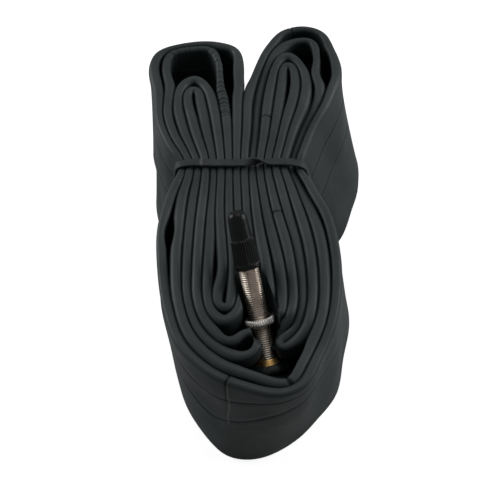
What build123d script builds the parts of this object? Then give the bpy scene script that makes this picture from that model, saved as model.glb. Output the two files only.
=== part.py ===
"""Folded bicycle inner tube with a Presta valve, held by a rubber band.

The flat butyl tube is one endless ribbon. It is folded sixteen times beside itself, stands on
its edge and is pinched at the waist by a flat rubber band. The valve stands up out of the
second band of the front fold, with its lock ring, its core and its dust cap.
Millimetres, +Z up, origin on the floor under the middle of the bundle.
"""
import os
from math import atan2, cos, hypot, pi, radians, sin, tan

from build123d import *

# ---- tube: driving sizes ---------------------------------------------------------------
flat_width = 50.0          # width of the tube pressed flat, standing upright here
flat_thickness = 1.8       # two walls of 0.9 mm with no air between them
bundle_width_scale = 1.0   # the folds' plan, across
bundle_length_scale = 1.0  # the folds' plan, along
waist_pitch = 2.45         # leg to leg where the rubber band pinches them
first_leg_x = -23.0        # leg 1 at the waist
waist_y = 9.8
centre_line_x = -4.6       # the legs lean outwards to both sides of this line
bend_share = 0.47          # of the shorter run beside a bend, the part its arc takes up
largest_bend = 60.0

# ---- rubber band -----------------------------------------------------------------------
band_width = 2.4
band_thickness = 0.8
band_clearance = 0.3
band_side_clearance = 1.1   # the outer legs leave the waist at a slant
band_rest_gap = 0.3        # under its upper run
band_height = flat_width + band_rest_gap
band_corner = 1.2
notch_length = 200.0       # the notch for the lower run goes right through the waist

# ---- valve: driving sizes --------------------------------------------------------------
fit = 0.2                         # running gap between the valve's turned pieces
edge_break = 0.3                  # chamfer on the turned pieces' edges
channel_clearance = 0.5           # between the valve and the folds round it
channel_length = 80.0             # long enough to come out above the folds
valve_x = 4.0                     # where the stem leaves the rubber patch, in the folds' plan
valve_y = -50.9
valve_height_share = 0.648        # of the tube's width, below the stem's foot
valve_rise = 44.0                 # degrees above the floor
valve_swing = 107.0               # degrees round from +X, seen from above
stem_diameter = 6.0
stem_shoulder = 29.0              # top of the full thread, measured from the foot
neck_diameter = 5.2
neck_top = 33.0
stem_bore = 3.4
core_bore = 4.0
core_seat = 22.0                  # where the core's seal rests in the stem
stem_root = 1.6                   # how far the stem runs down into its foot
flat_depth = 0.35                 # taken off each side of the thread
flats_across = stem_diameter - 2 * flat_depth
flat_cutter = 10.0                # block that mills each flat
flats_start = 14.4                # the thread is whole below this height
ring_seat = 11.6                  # underside of the lock ring
ring_thickness = 2.3
ring_wall = 1.1
ring_clearance = 0.3
ring_diameter = stem_diameter + 2 * (ring_clearance + ring_wall)
ring_knurls = 36
ring_knurl_radius = 0.22
foot_collar_wall = 0.5
foot_collar_diameter = stem_diameter + 2 * foot_collar_wall
foot_collar_height = 1.4
foot_flange_rim = 0.8             # stands out beyond the collar
foot_flange_diameter = foot_collar_diameter + 2 * foot_flange_rim
foot_flange_thickness = 0.9
foot_flange_depth = 0.5           # below the patch's face
patch_rim = 1.7                   # rubber round the flange
patch_diameter = foot_flange_diameter + 2 * patch_rim
patch_depth = 2.6                 # the boss reaches back to the tube's leaning wall
patch_edge = 0.5
open_slot_start = 9.0             # the folds are open above the stem from here on
core_barrel_diameter = 3.2
core_seal_height = 3.0
core_head_diameter = 4.8
core_head_flats = 4.0
core_head_top = 36.4
pin_diameter = 2.0
pin_top = 43.0
pin_bore = 2.4
pin_foot = 19.0
pin_ferrule_height = 0.8
pin_seal_diameter = 2.9
seal_gap = 0.1
nut_diameter = 4.0
nut_height = 2.4
nut_gap = 1.5                     # the nut stands unscrewed by this much
cap_length = 17.0
cap_skirt_length = 8.4
cap_rim_wall = 1.15
cap_skirt_top_wall = 0.6
cap_dome_wall = 0.35
cap_tip_wall = 0.6                # at the bore over the nut
cap_bore = neck_diameter + 2 * fit
cap_tip_bore = nut_diameter + 2 * fit
cap_rim_diameter = cap_bore + 2 * cap_rim_wall
cap_skirt_top_diameter = cap_bore + 2 * cap_skirt_top_wall
cap_dome_diameter = cap_bore + 2 * cap_dome_wall
cap_tip_diameter = cap_tip_bore + 2 * cap_tip_wall
cap_wall = 0.7
cap_ribs = 18
cap_rib_depth = 0.25
cap_rib_gap = 0.5
cap_band_height = 1.2             # plain band at the skirt's rim
cap_tip_round = 0.9

os.makedirs("parts", exist_ok=True)


def waist(leg):
    """Where a leg, numbered 1 to 16 from the left, crosses the waist."""
    return (first_leg_x + (leg - 1) * waist_pitch, waist_y)


# The tube's upper edge in plan, as one endless route through the sixteen legs. A third number
# is how much further back the lower edge stands there.
tube_route = [
    waist(1), (-27.6, 18.5), (-31.3, 28.5), (-32.4, 42), (-34, 54), (-32.5, 60), (-24, 63),
    (-13.5, 62.6), (-6.9, 59.5), (-6.5, 50), (-5.9, 32),
    waist(8), (-5.4, -8), (-4.3, -22), (-4.1, -37), (-5.6, -44), (-8.9, -46.3), (-12.6, -43.6),
    (-14.1, -38), (-13.8, -13),
    waist(5), (-16, 26), (-18, 36.5), (-18.4, 40), (-20.8, 42.1), (-22.7, 38), (-21, 30.5),
    (-19, 22),
    waist(4), (-16.8, -15), (-17.2, -28), (-16.8, -39.5), (-13.8, -47.2), (-9.3, -52),
    (-6.5, -52.4), (-2.6, -50), (0.2, -50.4), (0.2, -54.6), (-2.2, -56.9), (-7, -56.8),
    (-11.5, -54.2), (-16.2, -49), (-19.6, -40), (-20.3, -28), (-20, -15), (-19.2, -3),
    waist(3), (-20.1, 16), (-23.3, 25.5), (-25.3, 34), (-24.6, 42), (-20.3, 47.2), (-16, 42),
    (-13.2, 32), (-11.6, 20),
    waist(6), (-11, -8), (-9.9, -20), (-9.5, -30), (-11.3, -37.5), (-10.8, -40.7), (-8.1, -41.8),
    (-6.7, -38), (-6.7, -26), (-7.7, -10),
    waist(7), (-9.1, 24), (-10.1, 35), (-11.6, 46), (-12.6, 55), (-15.6, 60.2), (-22.6, 60.3),
    (-28.6, 58), (-29.7, 52), (-28.4, 43), (-28.9, 32), (-26.7, 23), (-22.7, 15),
    waist(2), (-22.4, -3), (-23.3, -15), (-23.5, -27), (-22.3, -40), (-18.3, -51.5),
    (-10, -59.8), (-1.5, -62.9), (8.6, -65.4), (13.2, -58.5), (18.8, -46), (20.2, -30),
    (18.9, -15), (13.6, 2),
    waist(15), (12.4, 15), (15.6, 25), (20.6, 37), (21.6, 43), (20.7, 49), (21, 58), (19.4, 64),
    (14.4, 64.3), (8, 59.7), (3.9, 50.9), (1.4, 39), (0.1, 24),
    waist(10), (-0.2, -4), (0.9, -15), (2.7, -26), (3.9, -36), (4.2, -42.6), (7.1, -43.6),
    (7.9, -38), (7.2, -28), (5.2, -17), (3, -6),
    waist(11), (2.8, 22), (3.8, 34), (5.4, 44), (7.6, 52.8), (11.2, 57.5), (15.4, 52.5),
    (17.1, 44), (15.7, 35), (12.2, 24), (9.9, 15),
    waist(14), (10.9, 2), (14.6, -13), (16.4, -24), (16.7, -35), (15.8, -43), (13.6, -49.5),
    (8.5, -53.2), (3.5, -53.4), (3.6, -49.9), (8.6, -50), (11.6, -47), (13.3, -42),
    (13.6, -33), (12.4, -20), (9.9, -9), (7.8, 1),
    waist(13), (7.9, 18), (10.2, 29), (12.9, 40), (13.5, 47), (12.5, 52), (9.7, 51.4),
    (8.7, 44), (7.4, 32), (5.9, 22),
    waist(12), (5.2, 0), (7.1, -10), (9.6, -22), (10.9, -33), (10.7, -41.5), (8.2, -46.9),
    (3.4, -46.9), (1.2, -41.5), (1, -36), (-0.4, -26), (-1.9, -16), (-2.7, -4),
    waist(9), (-2.4, 26), (-1.4, 40), (1.2, 51), (5.4, 61), (10.9, 67), (17.4, 68.7),
    (23.4, 66.5), (25.9, 59), (26.8, 48), (24.2, 37.5), (18.9, 26), (15, 15),
    waist(16), (16.6, 2), (21, -9), (23.4, -21), (23.9, -34), (21.9, -46, 0.6), (17.6, -57.5, 3.2),
    (12.6, -66.3, 5.4), (6.2, -69.2, 3.6), (-3.6, -66.8, -1.2), (-12.6, -62.6, -1), (-21, -54, 1.4),
    (-25.3, -42), (-26.9, -29), (-27.2, -15), (-26, -3),
]


def between(value, stations):
    """Straight-line interpolation through (place, size) stations."""
    if value <= stations[0][0]:
        return stations[0][1]
    for (low, low_size), (high, high_size) in zip(stations, stations[1:]):
        if value <= high:
            return low_size + (high_size - low_size) * (value - low) / (high - low)
    return stations[-1][1]


# How much wider the bundle stands on the floor than at its upper edge, along its length.
spread_left = [(-30, 0), (-8, 0.25), (10, 0.6), (24, 0.3), (40, 0.19), (60, 0.17)]
spread_right = [(-66, 0.04), (-46, 0.1), (-33, 0.125), (-21, 0.18), (-8, 0.33), (2, 0.62),
                (10, 0.85), (28, 0.6), (47, 0.38), (65, 0.2)]
# The valve drags the middle of the front bands inwards: how far, by how deep a band lies.
tuck_by_band = [(-66.2, 0), (-65.8, 13.2), (-62, 13.2), (-57, 10.2), (-53.3, 8),
                (-50, 7), (-46.9, 6.3), (-43.6, 5.4), (-36, 2.6), (-28, 0)]
tuck_flat = 7.0            # the drag is even this far each side of the valve
tuck_reach_left = 14.0
tuck_reach_right = 8.0
# Share of that drag at each height of the tube's width.
levels = [(0.0, 0.55), (0.54, 1.0), (0.84, 0.0), (1.0, 0.0)]


def placed(point, height_share, drag):
    """Moves a point of the upper edge's route down to a level of the leaning, dragged tube."""
    x, y, *set_back = point
    spread = spread_left if x < centre_line_x else spread_right
    widening = 1 + between(y, spread) * (1 - height_share)
    reach = tuck_reach_left if x < valve_x else tuck_reach_right
    across = max(abs(x - valve_x) - tuck_flat, 0) / reach
    bell = (1 + cos(pi * across)) / 2 if across < 1 else 0
    y += between(y, tuck_by_band) * bell * drag + sum(set_back) * (1 - height_share)
    x = centre_line_x + (x - centre_line_x) * widening
    return (x * bundle_width_scale, y * bundle_length_scale)


def turn_at(before, here, after):
    """Signed turn in radians at one point of a route."""
    turn = atan2(after[1] - here[1], after[0] - here[0]) - atan2(here[1] - before[1], here[0] - before[0])
    return (turn + pi) % (2 * pi) - pi


def ribbon_side(route, shift):
    """One face of the flat tube: the route moved sideways, and the radius of each bend."""
    corners, radii = [], []
    for index, here in enumerate(route):
        before, after = route[index - 1], route[(index + 1) % len(route)]
        turn = turn_at(before, here, after)
        run = min(hypot(here[0] - before[0], here[1] - before[1]),
                  hypot(after[0] - here[0], after[1] - here[1]))
        heading = atan2(here[1] - before[1], here[0] - before[0]) + turn / 2
        reach = shift / cos(turn / 2)
        corners.append((here[0] - reach * sin(heading), here[1] + reach * cos(heading)))
        bend = min(bend_share * run / tan(abs(turn) / 2), largest_bend)
        radii.append(bend - shift if turn > 0 else bend + shift)
    return corners, radii


def rounded_outline(corners, radii):
    """The edges of a closed outline: straight runs joined by tangent arcs."""
    starts, ends, middles = [], [], []
    for index, corner in enumerate(corners):
        here = Vector(corner)
        to_before = (Vector(corners[index - 1]) - here).normalized()
        to_after = (Vector(corners[(index + 1) % len(corners)]) - here).normalized()
        half = radians(to_before.get_angle(to_after)) / 2
        bisector = (to_before + to_after).normalized()
        starts.append(here + to_before * (radii[index] / tan(half)))
        ends.append(here + to_after * (radii[index] / tan(half)))
        middles.append(here + bisector * (radii[index] / sin(half) - radii[index]))
    edges = []
    for index, start in enumerate(starts):
        edges.append(Edge.make_line(ends[index - 1], start))
        edges.append(Edge.make_three_point_arc(start, middles[index], ends[index]))
    return edges


# ---- tube_body: one endless flat butyl tube, folded and standing on its edge -------------
def lofted_side(shift):
    """The solid inside one face of the ribbon, from the floor to the upper edge."""
    with BuildPart() as inside:
        for share, drag in levels:
            with BuildSketch(Plane.XY.offset(share * flat_width)):
                level_route = [placed(point, share, drag) for point in tube_route]
                make_face(rounded_outline(*ribbon_side(level_route, shift)))
        loft(ruled=True)
    return inside.part


def valve_level(height):
    """The plane across the valve at a height above its foot."""
    return valve_plane.offset(height)


valve_foot = (valve_x * bundle_width_scale, valve_y * bundle_length_scale,
              valve_height_share * flat_width)
tilt = radians(valve_rise)
swing = radians(valve_swing)
axis_direction = Vector(cos(tilt) * cos(swing), cos(tilt) * sin(swing), sin(tilt))
heading = Vector(cos(swing), sin(swing), 0)
across_direction = Vector(sin(swing), -cos(swing), 0)
valve_plane = Plane(origin=valve_foot, x_dir=across_direction, z_dir=axis_direction)
valve_section = Plane(origin=valve_foot, x_dir=heading, z_dir=across_direction)
valve_axis = Axis(valve_foot, axis_direction)


def band_side(leg, share):
    """A corner of the rubber band's loop, outside an outermost leg, across and up."""
    outward = -1 if leg == 1 else 1
    x = placed(waist(leg), share, 0)[0]
    lean = placed(waist(leg), 0, 0)[0] - placed(waist(leg), 1, 0)[0]
    slant = hypot(lean, flat_width) / flat_width
    x += outward * (flat_thickness / 2 * slant + band_side_clearance + band_thickness * slant)
    return (x, band_height + band_thickness if share else 0)


with BuildPart() as tube_body:
    add(lofted_side(flat_thickness / 2))
    add(lofted_side(-flat_thickness / 2), mode=Mode.SUBTRACT)
    # the folds lie clear of the valve: round it all the way up, and open above its stem
    with BuildSketch(valve_level(foot_collar_height)):
        Circle(ring_diameter / 2 + channel_clearance)
    extrude(amount=channel_length, mode=Mode.SUBTRACT)
    with BuildSketch(valve_plane):
        Circle(patch_diameter / 2 + channel_clearance)
    extrude(amount=foot_collar_height, mode=Mode.SUBTRACT)
    slot_start, slot_end = open_slot_start, stem_shoulder + cap_length
    with BuildSketch(valve_section):
        with BuildLine():
            Polyline((slot_start * cos(tilt), slot_start * sin(tilt)),
                     (slot_end * cos(tilt), slot_end * sin(tilt)),
                     (slot_end * cos(tilt), flat_width), (slot_start * cos(tilt), flat_width),
                     close=True)
        make_face()
    extrude(amount=stem_diameter / 2 + channel_clearance, both=True, mode=Mode.SUBTRACT)
    # the rubber band's lower run passes under the waist
    with BuildSketch(Plane.XY):
        with Locations((0, waist_y * bundle_length_scale)):
            Rectangle(notch_length, band_width + 2 * band_clearance)
    extrude(amount=band_thickness + band_clearance, mode=Mode.SUBTRACT)

# ---- valve_patch: rubber boss moulded on the tube round the valve's foot -----------------
with BuildPart() as valve_patch:
    with BuildSketch(valve_level(-patch_depth)):
        Circle(patch_diameter / 2)
    extrude(amount=patch_depth)
    fillet(valve_patch.faces().sort_by(valve_axis)[-1].edges(), patch_edge)
    with BuildSketch(valve_level(-foot_flange_depth - foot_flange_thickness)):
        Circle(foot_flange_diameter / 2)
    extrude(amount=foot_flange_thickness, mode=Mode.SUBTRACT)
    with BuildSketch(valve_level(-patch_depth)):
        Circle(foot_collar_diameter / 2)
    extrude(amount=patch_depth, mode=Mode.SUBTRACT)
    add(tube_body.part, mode=Mode.SUBTRACT)
    boss = valve_patch.solids().sort_by(SortBy.VOLUME)[-1]
    add(boss, mode=Mode.REPLACE)

# ---- valve_base: brass foot, a flange held in the patch and a collar above it --------------
with BuildPart() as valve_base:
    with BuildSketch(valve_level(-foot_flange_depth - foot_flange_thickness)):
        Circle(foot_flange_diameter / 2)
    extrude(amount=foot_flange_thickness)
    with BuildSketch(valve_level(-foot_flange_depth)):
        Circle(foot_collar_diameter / 2)
    extrude(amount=foot_flange_depth + foot_collar_height)
    chamfer(valve_base.faces().sort_by(valve_axis)[-1].edges(), edge_break)
    with BuildSketch(valve_level(-stem_root)):
        Circle(stem_diameter / 2)
    extrude(amount=stem_root + foot_collar_height, mode=Mode.SUBTRACT)

# ---- valve_stem: nickel-plated brass barrel, threaded, with two flats ---------------------
with BuildPart() as valve_stem:
    with BuildSketch(valve_level(-stem_root)):
        Circle(stem_diameter / 2)
    extrude(amount=stem_root + stem_shoulder)
    chamfer(valve_stem.faces().sort_by(valve_axis)[-1].edges(), edge_break)
    with BuildSketch(valve_level(stem_shoulder)):
        Circle(neck_diameter / 2)
    extrude(amount=neck_top - stem_shoulder)
    with BuildSketch(valve_level(flats_start)):
        flat_centre = (flats_across + flat_cutter) / 2
        with Locations((0, flat_centre), (0, -flat_centre)):
            Rectangle(flat_cutter, flat_cutter)
    extrude(amount=stem_shoulder - flats_start, mode=Mode.SUBTRACT)
    with BuildSketch(valve_level(-stem_root)):
        Circle(stem_bore / 2)
    extrude(amount=stem_root + core_seat, mode=Mode.SUBTRACT)
    with BuildSketch(valve_level(core_seat)):
        Circle(core_bore / 2)
    extrude(amount=neck_top - core_seat, mode=Mode.SUBTRACT)

# ---- lock_ring: knurled nickel-plated nut that runs on the stem's thread -------------------
with BuildPart() as lock_ring:
    with BuildSketch(valve_level(ring_seat)):
        Circle(ring_diameter / 2)
        with PolarLocations(ring_diameter / 2, ring_knurls):
            Circle(ring_knurl_radius, mode=Mode.SUBTRACT)
        Circle(stem_diameter / 2 + ring_clearance, mode=Mode.SUBTRACT)
    extrude(amount=ring_thickness)

# ---- core_seal: rubber sleeve squeezed between the core's barrel and the stem --------------
with BuildPart() as core_seal:
    with BuildSketch(valve_level(core_seat)):
        Circle(core_bore / 2)
        Circle(core_barrel_diameter / 2, mode=Mode.SUBTRACT)
    extrude(amount=core_seal_height)

# ---- core_body: brass barrel screwed into the stem, with a head cut for a wrench ----------
with BuildPart() as core_body:
    with BuildSketch(valve_level(core_seat)):
        Circle(core_barrel_diameter / 2)
    extrude(amount=core_seal_height)
    with BuildSketch(valve_level(core_seat + core_seal_height)):
        Circle(core_bore / 2)
    extrude(amount=neck_top - core_seat - core_seal_height)
    with BuildSketch(valve_level(neck_top)):
        Circle(core_head_diameter / 2)
        Rectangle(core_head_flats, core_head_diameter, mode=Mode.INTERSECT)
    extrude(amount=core_head_top - neck_top)
    with BuildSketch(valve_level(core_seat)):
        Circle(pin_bore / 2)
    extrude(amount=core_head_top - core_seat, mode=Mode.SUBTRACT)

# ---- core_pin: the long brass pin that opens the valve when it is pressed -----------------
with BuildPart() as core_pin:
    with BuildSketch(valve_level(pin_foot)):
        Circle(pin_seal_diameter / 2)
    extrude(amount=pin_ferrule_height)
    with BuildSketch(valve_level(pin_foot + pin_ferrule_height)):
        Circle(pin_diameter / 2)
    extrude(amount=pin_top - pin_foot - pin_ferrule_height)
    chamfer(core_pin.faces().sort_by(valve_axis)[-1].edges(), edge_break)

# ---- pin_seal: rubber washer on the pin's ferrule, held against the core's barrel ---------
with BuildPart() as pin_seal:
    with BuildSketch(valve_level(pin_foot + pin_ferrule_height)):
        Circle(pin_seal_diameter / 2)
        Circle(pin_diameter / 2, mode=Mode.SUBTRACT)
    extrude(amount=core_seat - seal_gap - pin_foot - pin_ferrule_height)

# ---- tip_nut: small round nut on the pin's thread, screwed down to keep the valve shut ----
with BuildPart() as tip_nut:
    with BuildSketch(valve_level(core_head_top + nut_gap)):
        Circle(nut_diameter / 2)
    extrude(amount=nut_height)
    chamfer(tip_nut.edges(), edge_break)
    with BuildSketch(valve_level(core_head_top + nut_gap)):
        Circle(pin_diameter / 2 + fit / 2)
    extrude(amount=nut_height, mode=Mode.SUBTRACT)

# ---- dust_cap: moulded plastic, ribbed skirt and smooth dome, screwed on the neck ----------
cap_rim = stem_shoulder + fit
cap_step = cap_rim + cap_skirt_length
cap_tip = cap_rim + cap_length
with BuildPart() as dust_cap:
    with BuildSketch(valve_level(cap_rim)):
        Circle(cap_rim_diameter / 2)
    with BuildSketch(valve_level(cap_step)):
        Circle(cap_skirt_top_diameter / 2)
    loft()
    with BuildSketch(valve_level(cap_rim + cap_band_height)):
        with PolarLocations(cap_rim_diameter / 2 + cap_rib_depth / 2, cap_ribs):
            Rectangle(2 * cap_rib_depth, cap_rib_gap)
    extrude(amount=cap_skirt_length, mode=Mode.SUBTRACT)
    with BuildSketch(valve_level(cap_step)):
        Circle(cap_dome_diameter / 2)
    with BuildSketch(valve_level(cap_tip)):
        Circle(cap_tip_diameter / 2)
    loft()
    fillet(dust_cap.faces().sort_by(valve_axis)[-1].edges(), cap_tip_round)
    with BuildSketch(valve_level(cap_rim)):
        Circle(cap_bore / 2)
    extrude(amount=core_head_top + fit - cap_rim, mode=Mode.SUBTRACT)
    with BuildSketch(valve_level(cap_rim)):
        Circle(cap_tip_bore / 2)
    extrude(amount=cap_length - cap_wall, mode=Mode.SUBTRACT)

# ---- rubber_band: one flat loop round the waist, twisted over once between the two bundles --
with BuildPart() as rubber_band:
    left_top, right_top = band_side(1, 1.0), band_side(16, 1.0)
    left_foot, right_foot = band_side(1, 0.0), band_side(16, 0.0)
    with BuildSketch(Plane.XZ.offset(-waist_y * bundle_length_scale)):
        with BuildLine():
            FilletPolyline(left_foot, left_top, right_top, right_foot, close=True,
                           radius=band_corner)
        make_face()
        offset(amount=-band_thickness, mode=Mode.SUBTRACT)
    extrude(amount=band_width / 2, both=True)

pieces = {
    "tube_body": tube_body, "valve_patch": valve_patch, "valve_base": valve_base,
    "valve_stem": valve_stem, "lock_ring": lock_ring, "core_body": core_body,
    "core_seal": core_seal, "core_pin": core_pin, "pin_seal": pin_seal, "tip_nut": tip_nut,
    "dust_cap": dust_cap, "rubber_band": rubber_band,
}
for name, piece in pieces.items():
    piece.part.label = name
    export_step(piece.part, f"parts/{name}.step")
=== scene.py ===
"""A folded bicycle inner tube with its valve and rubber band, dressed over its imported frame.

Sizes are in millimetres until a mesh is made; every mesh is in metres.
"""
import math

import bpy
import numpy as np
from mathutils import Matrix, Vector


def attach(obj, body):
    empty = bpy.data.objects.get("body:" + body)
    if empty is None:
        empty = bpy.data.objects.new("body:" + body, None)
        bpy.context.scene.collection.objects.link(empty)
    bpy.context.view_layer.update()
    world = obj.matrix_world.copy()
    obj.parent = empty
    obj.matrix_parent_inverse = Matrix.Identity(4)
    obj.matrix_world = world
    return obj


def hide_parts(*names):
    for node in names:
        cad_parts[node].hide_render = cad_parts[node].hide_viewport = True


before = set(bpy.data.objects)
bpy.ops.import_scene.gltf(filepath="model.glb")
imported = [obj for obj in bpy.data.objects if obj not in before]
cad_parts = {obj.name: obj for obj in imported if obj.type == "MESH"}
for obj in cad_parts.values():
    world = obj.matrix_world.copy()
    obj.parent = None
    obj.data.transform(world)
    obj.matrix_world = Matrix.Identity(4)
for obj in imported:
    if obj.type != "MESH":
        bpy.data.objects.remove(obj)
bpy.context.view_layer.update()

# ---------------------------------------------------------------------------------------
# The tube. One endless butyl tube pressed flat, 50 mm wide, its two rims rolled round by
# the fold. It is folded back and forth sixteen times beside itself and stands on its edge.
# ---------------------------------------------------------------------------------------
MM = 0.001
FLAT_WIDTH = 50.0
WEB_HALF = 0.95             # half the thickness of the two walls lying on each other
WAIST_Y = 9.8
WAIST_PITCH = 2.45
FIRST_LEG_X = -23.0
LEAN_LINE_X = -4.6
FINE_STEP = 0.2             # spacing of the sections along the tube where it is creased
PLAIN_EVERY = 4             # elsewhere only every fourth section is kept

VALVE_FOOT = np.array([4.0, -50.9, 32.4])
RISE = math.radians(44.0)
SWING = math.radians(107.0)
VALVE_AXIS = np.array([math.cos(RISE) * math.cos(SWING), math.cos(RISE) * math.sin(SWING),
                       math.sin(RISE)])
ACROSS = np.array([math.sin(SWING), -math.cos(SWING), 0.0])
UPPER = np.cross(ACROSS, VALVE_AXIS)


def waist(leg, sink=0.0):
    """Where leg 1 to 16 passes under the rubber band."""
    return (FIRST_LEG_X + (leg - 1) * WAIST_PITCH, WAIST_Y, sink)


# The upper rim's route: across and along, then where they matter how far the rim lies below the
# others, and how far back the tube's foot stands from it.
ROUTE = [
    waist(1), (-27.6, 18.5), (-31.2, 28.5), (-32.2, 41), (-34.3, 53), (-32.6, 58.2), (-24, 61.9),
    (-13.5, 62.6), (-6.9, 59.5), (-6.2, 50), (-5.6, 34),
    waist(8), (-5.4, -8), (-4.3, -22, 1), (-4.1, -37, 0.5), (-5.6, -44), (-8.9, -46.3), (-12.6, -43.6),
    (-14.1, -38), (-13.8, -13),
    waist(5), (-16, 26), (-17.8, 36), (-18.6, 40.4), (-20.7, 42), (-22.4, 40), (-22.5, 37), (-21, 30.5),
    (-19, 22),
    waist(4), (-16.8, -15), (-17.2, -28), (-16.8, -39.5), (-13.8, -47.2), (-9.3, -52),
    (-6.5, -52.4), (-2.6, -50), (0.2, -50.4), (0.2, -54.6), (-2.2, -56.9), (-7, -56.8),
    (-11.5, -54.2), (-16.2, -49), (-19.6, -40), (-20.3, -28), (-20, -15), (-19.2, -3),
    waist(3), (-20.1, 16), (-23.3, 25.5), (-25.3, 34), (-25, 41), (-23, 45.4), (-20.2, 46.8),
    (-17.5, 45.2), (-15.5, 41),
    (-13.2, 32), (-11.6, 20),
    waist(6), (-11, -8), (-9.9, -20), (-9.5, -30), (-11.3, -37.5), (-10.8, -40.7), (-8.1, -41.8),
    (-6.7, -38), (-6.7, -26), (-7.7, -10),
    waist(7), (-9.1, 24), (-10.1, 35), (-11.6, 46), (-12.6, 55), (-15.6, 60.2), (-22.6, 60.3),
    (-28.6, 58), (-29.7, 52), (-28.4, 43), (-28.9, 32), (-26.7, 23), (-22.7, 15),
    waist(2), (-22.4, -3), (-23.3, -15), (-23.5, -27), (-22.3, -40), (-18.3, -51.5),
    (-10, -59.8), (-1.5, -62.9), (8.6, -65.4), (13.2, -58.5), (18.8, -46), (20.2, -30),
    (18.9, -15), (13.6, 2, 1.5),
    waist(15, 2), (12.4, 15, 2.5), (15.6, 25, 2.5), (20.6, 37, 1.5), (21.6, 43), (20.7, 49), (21, 58),
    (19.4, 64), (14.4, 64.3), (8, 59.7), (3.9, 50.9, 1), (1.4, 39, 1.5), (0.1, 24, 1.5),
    waist(10, 0.8), (-0.2, -4), (0.9, -15), (2.7, -26), (3.9, -36), (4.2, -42.6), (7.1, -43.6),
    (7.9, -38), (7.2, -28), (5.2, -17), (3, -6),
    waist(11), (2.8, 22), (3.8, 34), (5.3, 44), (7.1, 52), (8.8, 56), (11.3, 57.4), (13.9, 55.8),
    (15.9, 51.5), (17.1, 44), (15.7, 35), (12.2, 24), (9.9, 15),
    waist(14), (10.9, 2), (14.6, -13), (16.4, -24), (16.7, -35), (15.8, -43), (14.2, -48.2, 1),
    (11.3, -51.4, 2.5), (7.9, -52.6, 4.5), (6.6, -51, 5), (7.8, -49.5, 4.5), (10.9, -47.4, 2.5),
    (13.2, -42, 1), (13.6, -33, 1), (12.4, -20, 1), (9.9, -9, 0.6), (7.8, 1),
    waist(13), (7.9, 18), (10.2, 29), (12.9, 40), (13.7, 47), (13.1, 51.6), (11.2, 53.3), (9.5, 51.4),
    (8.7, 44), (7.4, 32), (5.9, 22),
    waist(12), (5.2, 0), (7.1, -10), (9.6, -22), (10.9, -33), (10.7, -41.5), (8.2, -46.9, 1),
    (3.4, -46.9, 17), (1.2, -41.5, 13.5), (1, -36, 9), (-0.4, -26, 2), (-1.9, -16), (-2.7, -4),
    waist(9), (-2.7, 26), (-2.3, 38), (0.8, 51), (4.8, 61.4), (10, 68.4), (17.4, 70.4),
    (23.4, 67.6), (26.1, 59), (26.8, 48), (24.2, 37.5), (18.9, 26), (15, 15),
    waist(16), (16.9, 2), (21.8, -9), (23.9, -21), (24.1, -34), (22.1, -46, 0, 0.2),
    (17.8, -57.3, 0, 3), (12.8, -66.4, 0, 6.2), (6.2, -69, 0, 3.5), (-3.6, -66.8, 0, -1.4),
    (-12.6, -62.6, 0, -3.2), (-21.2, -54, 0, 1.2), (-25.6, -42, 0, 0.4), (-27.8, -29),
    (-28.5, -15), (-26.5, -3),
]


def ramp(value, low, high):
    """0 below low, 1 above high, eased between."""
    t = np.clip((value - low) / (high - low), 0, 1)
    return t * t * (3 - 2 * t)


# How far the tube's lower rim stands wider than the upper one, along the bundle, and how far
# the valve drags the front bands inwards, by how deep a band lies.
SPREAD_LEFT = ([-40, -30, -18, -8, 10, 24, 40, 60], [-0.08, -0.04, 0.06, 0.18, 0.35, 0.15, 0.1, 0.1])
SPREAD_RIGHT = ([-66, -46, -38, -31, -24, -16, -8, -2, 5, 12, 20, 27, 41, 65],
                [0.06, 0.14, 0.12, 0.16, 0.24, 0.28, 0.32, 0.42, 0.62, 0.82, 0.79, 0.65, 0.41, 0.23])
TUCK = ([-66.2, -65.8, -62, -57, -53.3, -50, -46.9, -43.6, -36, -28],
        [0, 13.2, 13.2, 10.2, 8, 7, 6.3, 5.4, 2.6, 0])


DRAG_FULL = 7.0             # the valve drags its whole width this far to either side
DRAG_FADES = {"left": 14.0, "right": 8.0}


def route_rows(points):
    """Each route point with its sink, its foot's set back, its widening and its drag."""
    rows = []
    for x, y, *extra in points:
        sunk, set_back = (*extra, 0.0, 0.0)[:2]
        widen = np.interp(y, *(SPREAD_LEFT if x < LEAN_LINE_X else SPREAD_RIGHT))
        fade = DRAG_FADES["left" if x < VALVE_FOOT[0] else "right"]
        across = min(max(abs(x - VALVE_FOOT[0]) - DRAG_FULL, 0) / fade, 1)
        drag = np.interp(y, *TUCK) * (1 + math.cos(math.pi * across)) / 2
        rows.append((x, y, sunk, set_back, widen, drag))
    return np.array(rows)


POINTS_A_STRETCH = 24


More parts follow.
